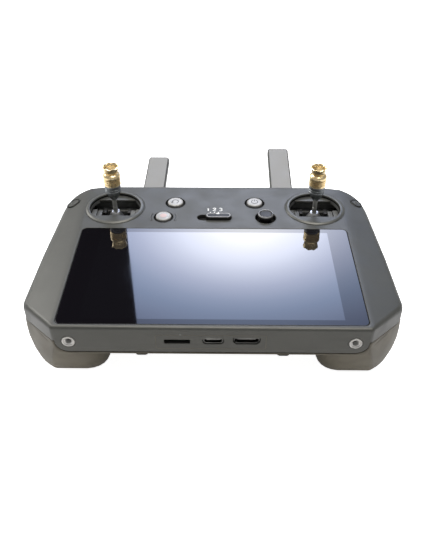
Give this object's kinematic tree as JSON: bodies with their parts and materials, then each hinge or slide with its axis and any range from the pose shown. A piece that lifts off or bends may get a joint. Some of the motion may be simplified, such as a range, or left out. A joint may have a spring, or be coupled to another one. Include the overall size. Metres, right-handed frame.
{
  "type": "radio transmitter controller",
  "caption": "Handheld radio controller with a built-in touch screen, two spring-centred control sticks and folding blade antennas.",
  "frame": {"origin": "middle of the whole outline in X and Y, on the table plane under the grips", "axes": "+X to the user's right, +Y away from the user, +Z out of the screen"},
  "size_m": [0.1832, 0.2035, 0.0731],
  "materials": {
    "shell_plastic": "matte, fine grain",
    "dark_plastic": "matte",
    "key_cap": "satin, light",
    "knob_gloss": "glossy black",
    "screen_glass": "polished, dark",
    "display": "dark, even",
    "gasket_rubber": "matte",
    "steel": "satin",
    "light_alloy": "satin",
    "stick_dark": "dark anodised",
    "gold_brass": "polished, knurled",
    "circuit_board": "solder mask",
    "battery_wrap": "shrink wrap"
  },
  "bodies": {
    "housing": {"front_shell": "shell_plastic", "rear_shell": "shell_plastic", "mid_frame": "light_alloy", "cover_glass": "screen_glass", "display_gasket": "gasket_rubber", "display_panel": "display", "left_stick_bezel": "shell_plastic", "right_stick_bezel": "shell_plastic", "thread_inserts": "steel", "card_socket": "steel", "usb_receptacle": "steel", "video_receptacle": "steel", "main_board": "circuit_board", "shield_cans": "light_alloy", "button_board": "circuit_board", "battery_cells": "battery_wrap", "heat_sink": "light_alloy", "fan_housing": "dark_plastic", "vent_grille": "dark_plastic", "speaker": "dark_plastic", "shell_screws": "steel", "antenna_cables": "gasket_rubber", "left_gimbal_housing": "dark_plastic", "right_gimbal_housing": "dark_plastic", "antenna_pins": "steel", "dial_pins": "steel", "five_way_base": "dark_plastic"},
    "left_yoke": {"left_outer_yoke": "light_alloy"},
    "left_stick": {"left_stick_cradle": "light_alloy", "left_stick_shaft": "steel", "left_stick_base": "stick_dark", "left_stick_tip": "gold_brass"},
    "left_antenna": {"left_antenna": "shell_plastic"},
    "left_dial": {"left_dial": "dark_plastic"},
    "left_rear_button": {"left_rear_button": "dark_plastic"},
    "right_yoke": {"right_outer_yoke": "light_alloy"},
    "right_stick": {"right_stick_cradle": "light_alloy", "right_stick_shaft": "steel", "right_stick_base": "stick_dark", "right_stick_tip": "gold_brass"},
    "right_antenna": {"right_antenna": "shell_plastic"},
    "right_dial": {"right_dial": "dark_plastic"},
    "right_rear_button": {"right_rear_button": "dark_plastic"},
    "return_button": {"return_button": "key_cap"},
    "power_button": {"power_button": "key_cap"},
    "pause_button": {"pause_button": "key_cap"},
    "back_button": {"back_button": "shell_plastic"},
    "confirm_button": {"confirm_button": "shell_plastic"},
    "record_button": {"record_button": "dark_plastic"},
    "shutter_button": {"shutter_button": "dark_plastic"},
    "mode_switch": {"mode_switch": "knob_gloss"},
    "five_way_rocker": {"five_way_rocker": "steel"},
    "five_way_stem": {"five_way_stem": "steel"},
    "five_way_knob": {"five_way_knob": "knob_gloss"},
    "fan_rotor": {"fan_rotor": "dark_plastic"}
  },
  "joints": [
    {"name": "left_stick_fore_aft", "type": "hinge", "parent": "housing", "child": "left_yoke", "pos_m": [-0.0568, -0.00287, 0.0356], "axis": [1, 0, 0], "range_deg": [-25, 25], "stiffness_Nm_per_rad": 0.02},
    {"name": "left_stick_sideways", "type": "hinge", "parent": "left_yoke", "child": "left_stick", "pos_m": [-0.0568, -0.00287, 0.0356], "axis": [0, 1, 0], "range_deg": [-25, 25], "stiffness_Nm_per_rad": 0.02},
    {"name": "left_antenna_fold", "type": "hinge", "parent": "housing", "child": "left_antenna", "pos_m": [-0.0418, 0.02933, 0.0179], "axis": [1, 0, 0], "range_deg": [-180, 60]},
    {"name": "left_dial_turn", "type": "hinge", "parent": "housing", "child": "left_dial", "pos_m": [-0.0625, 0.02772, 0.0286], "axis": [0, 0, 1], "range_deg": [-30, 30], "stiffness_Nm_per_rad": 0.02},
    {"name": "left_rear_button_press", "type": "slide", "parent": "housing", "child": "left_rear_button", "axis": [0, 0, 1], "range_m": [0, 0.0008], "stiffness_N_per_m": 600},
    {"name": "right_stick_fore_aft", "type": "hinge", "parent": "housing", "child": "right_yoke", "pos_m": [0.0568, -0.00287, 0.0356], "axis": [1, 0, 0], "range_deg": [-25, 25], "stiffness_Nm_per_rad": 0.02},
    {"name": "right_stick_sideways", "type": "hinge", "parent": "right_yoke", "child": "right_stick", "pos_m": [0.0568, -0.00287, 0.0356], "axis": [0, 1, 0], "range_deg": [-25, 25], "stiffness_Nm_per_rad": 0.02},
    {"name": "right_antenna_fold", "type": "hinge", "parent": "housing", "child": "right_antenna", "pos_m": [0.0432, 0.02933, 0.0179], "axis": [1, 0, 0], "range_deg": [-186, 54]},
    {"name": "right_dial_turn", "type": "hinge", "parent": "housing", "child": "right_dial", "pos_m": [0.0625, 0.02772, 0.0286], "axis": [0, 0, 1], "range_deg": [-30, 30], "stiffness_Nm_per_rad": 0.02},
    {"name": "right_rear_button_press", "type": "slide", "parent": "housing", "child": "right_rear_button", "axis": [0, 0, 1], "range_m": [0, 0.0008], "stiffness_N_per_m": 600},
    {"name": "return_button_press", "type": "slide", "parent": "housing", "child": "return_button", "axis": [0, 0, -1], "range_m": [0, 0.0008], "stiffness_N_per_m": 600},
    {"name": "power_button_press", "type": "slide", "parent": "housing", "child": "power_button", "axis": [0, 0, -1], "range_m": [0, 0.0008], "stiffness_N_per_m": 600},
    {"name": "pause_button_press", "type": "slide", "parent": "housing", "child": "pause_button", "axis": [0, 0, -1], "range_m": [0, 0.0008], "stiffness_N_per_m": 600},
    {"name": "back_button_press", "type": "slide", "parent": "housing", "child": "back_button", "axis": [0.2419, 0, -0.9703], "range_m": [0, 0.0006], "stiffness_N_per_m": 600},
    {"name": "confirm_button_press", "type": "slide", "parent": "housing", "child": "confirm_button", "axis": [-0.2419, 0, -0.9703], "range_m": [0, 0.0006], "stiffness_N_per_m": 600},
    {"name": "record_button_press", "type": "slide", "parent": "housing", "child": "record_button", "axis": [0.7771, -0.6293, 0], "range_m": [0, 0.0008], "stiffness_N_per_m": 600},
    {"name": "shutter_button_press", "type": "slide", "parent": "housing", "child": "shutter_button", "axis": [-0.7771, -0.6293, 0], "range_m": [0, 0.0012], "stiffness_N_per_m": 600},
    {"name": "mode_switch_slide", "type": "slide", "parent": "housing", "child": "mode_switch", "axis": [1, 0, 0], "range_m": [-0.0044, 0]},
    {"name": "five_way_tilt_fore_aft", "type": "hinge", "parent": "housing", "child": "five_way_rocker", "pos_m": [0.0285, -0.01247, 0.0371], "axis": [1, 0, 0], "range_deg": [-6, 6], "stiffness_Nm_per_rad": 0.02},
    {"name": "five_way_tilt_sideways", "type": "hinge", "parent": "five_way_rocker", "child": "five_way_stem", "pos_m": [0.0285, -0.01247, 0.0371], "axis": [0, 1, 0], "range_deg": [-6, 6], "stiffness_Nm_per_rad": 0.02},
    {"name": "five_way_press", "type": "slide", "parent": "five_way_stem", "child": "five_way_knob", "axis": [0, 0, -1], "range_m": [0, 0.0006], "stiffness_N_per_m": 600},
    {"name": "fan_spin", "type": "hinge", "parent": "housing", "child": "fan_rotor", "pos_m": [0, -0.05967, 0.0296], "axis": [0, 0, 1], "continuous": true}
  ]
}
